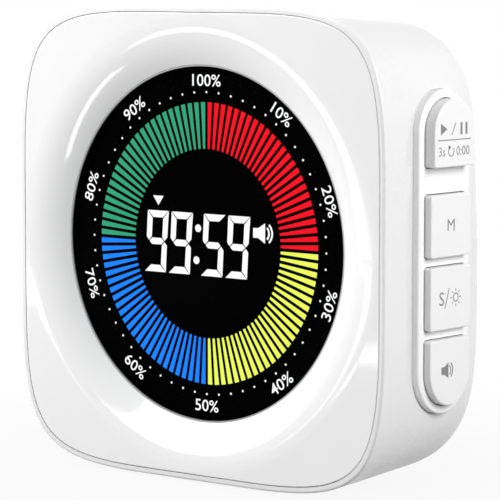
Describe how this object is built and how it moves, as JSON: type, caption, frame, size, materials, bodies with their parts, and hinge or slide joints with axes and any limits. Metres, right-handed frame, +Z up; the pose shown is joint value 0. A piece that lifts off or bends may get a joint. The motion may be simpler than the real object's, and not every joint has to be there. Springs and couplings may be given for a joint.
{
  "type": "visual countdown timer",
  "caption": "Soft-cornered white desk timer with a round dished dial, side push buttons and a battery door at the back.",
  "frame": {"origin": "on the table, midway between the two sides of the housing rim and midway between the front rim and the back of the housing", "axes": "+Z up; the dial faces -Y; the buttons stick out along +X"},
  "size_m": [0.0862, 0.039, 0.0855],
  "materials": {
    "housing": "white, satin to semi-gloss moulding",
    "panel": "white, high-gloss moulding",
    "door": "white, satin moulding",
    "plate": "white, gloss moulding",
    "button": "white, satin key caps with grey printed legends",
    "lens": "black, polished acrylic with the dial printed behind it",
    "gasket": "grey, smooth seal",
    "film": "printed colour film",
    "light_box": "white, matt reflector block",
    "led": "clear resin over a yellow phosphor",
    "board": "green solder mask on glass-epoxy",
    "screw": "zinc-plated",
    "chip": "black, moulded",
    "crystal": "drawn can",
    "capacitor": "sleeved can",
    "connector": "cream, moulded",
    "switch": "black, moulded",
    "plunger": "black, moulded",
    "cell": "plain metallic jacket",
    "contact": "nickel-plated spring strip",
    "speaker": "black steel basket",
    "foam": "black foam",
    "foot": "grey silicone",
    "battery_wire": "insulated wire",
    "speaker_wire": "insulated wire",
    "ribbon": "flat flexible cable"
  },
  "bodies": {
    "case": {"housing": "housing", "front_panel": "panel", "lens": "lens", "lens_gasket": "gasket", "dial_film": "film", "light_box": "light_box", "ring_leds": "led", "digit_leds": "led", "main_board": "board", "board_screws": "screw", "controller_chip": "chip", "clock_crystal": "crystal", "storage_capacitor": "capacitor", "board_connectors": "connector", "button_plate": "plate", "key_board": "board", "key_switches": "switch", "key_board_screws": "screw", "battery_cells": "cell", "right_battery_contacts": "contact", "left_battery_contacts": "contact", "speaker": "speaker", "speaker_foam": "foam", "case_screws": "screw", "foot_pads": "foot", "battery_leads": "battery_wire", "speaker_leads": "speaker_wire", "key_cable": "ribbon"},
    "start_stop": {"start_stop_button": "button", "start_stop_plunger": "plunger"},
    "minute": {"minute_button": "button", "minute_plunger": "plunger"},
    "second": {"second_button": "button", "second_plunger": "plunger"},
    "volume": {"volume_button": "button", "volume_plunger": "plunger"},
    "door": {"battery_door": "door"}
  },
  "joints": [
    {"name": "start_stop_press", "type": "slide", "parent": "case", "child": "start_stop", "axis": [-1, 0, 0], "range_m": [0, 0.0006], "stiffness_N_per_m": 2200, "springref_m": -0.0002},
    {"name": "minute_press", "type": "slide", "parent": "case", "child": "minute", "axis": [-1, 0, 0], "range_m": [0, 0.0006], "stiffness_N_per_m": 2200, "springref_m": -0.0002},
    {"name": "second_press", "type": "slide", "parent": "case", "child": "second", "axis": [-1, 0, 0], "range_m": [0, 0.0006], "stiffness_N_per_m": 2200, "springref_m": -0.0002},
    {"name": "volume_press", "type": "slide", "parent": "case", "child": "volume", "axis": [-1, 0, 0], "range_m": [0, 0.0006], "stiffness_N_per_m": 2200, "springref_m": -0.0002},
    {"name": "battery_door_swing", "type": "hinge", "parent": "case", "child": "door", "pos_m": [0, 0.0195, 0.01755], "axis": [-1, 0, 0], "range_deg": [0, 40]}
  ]
}
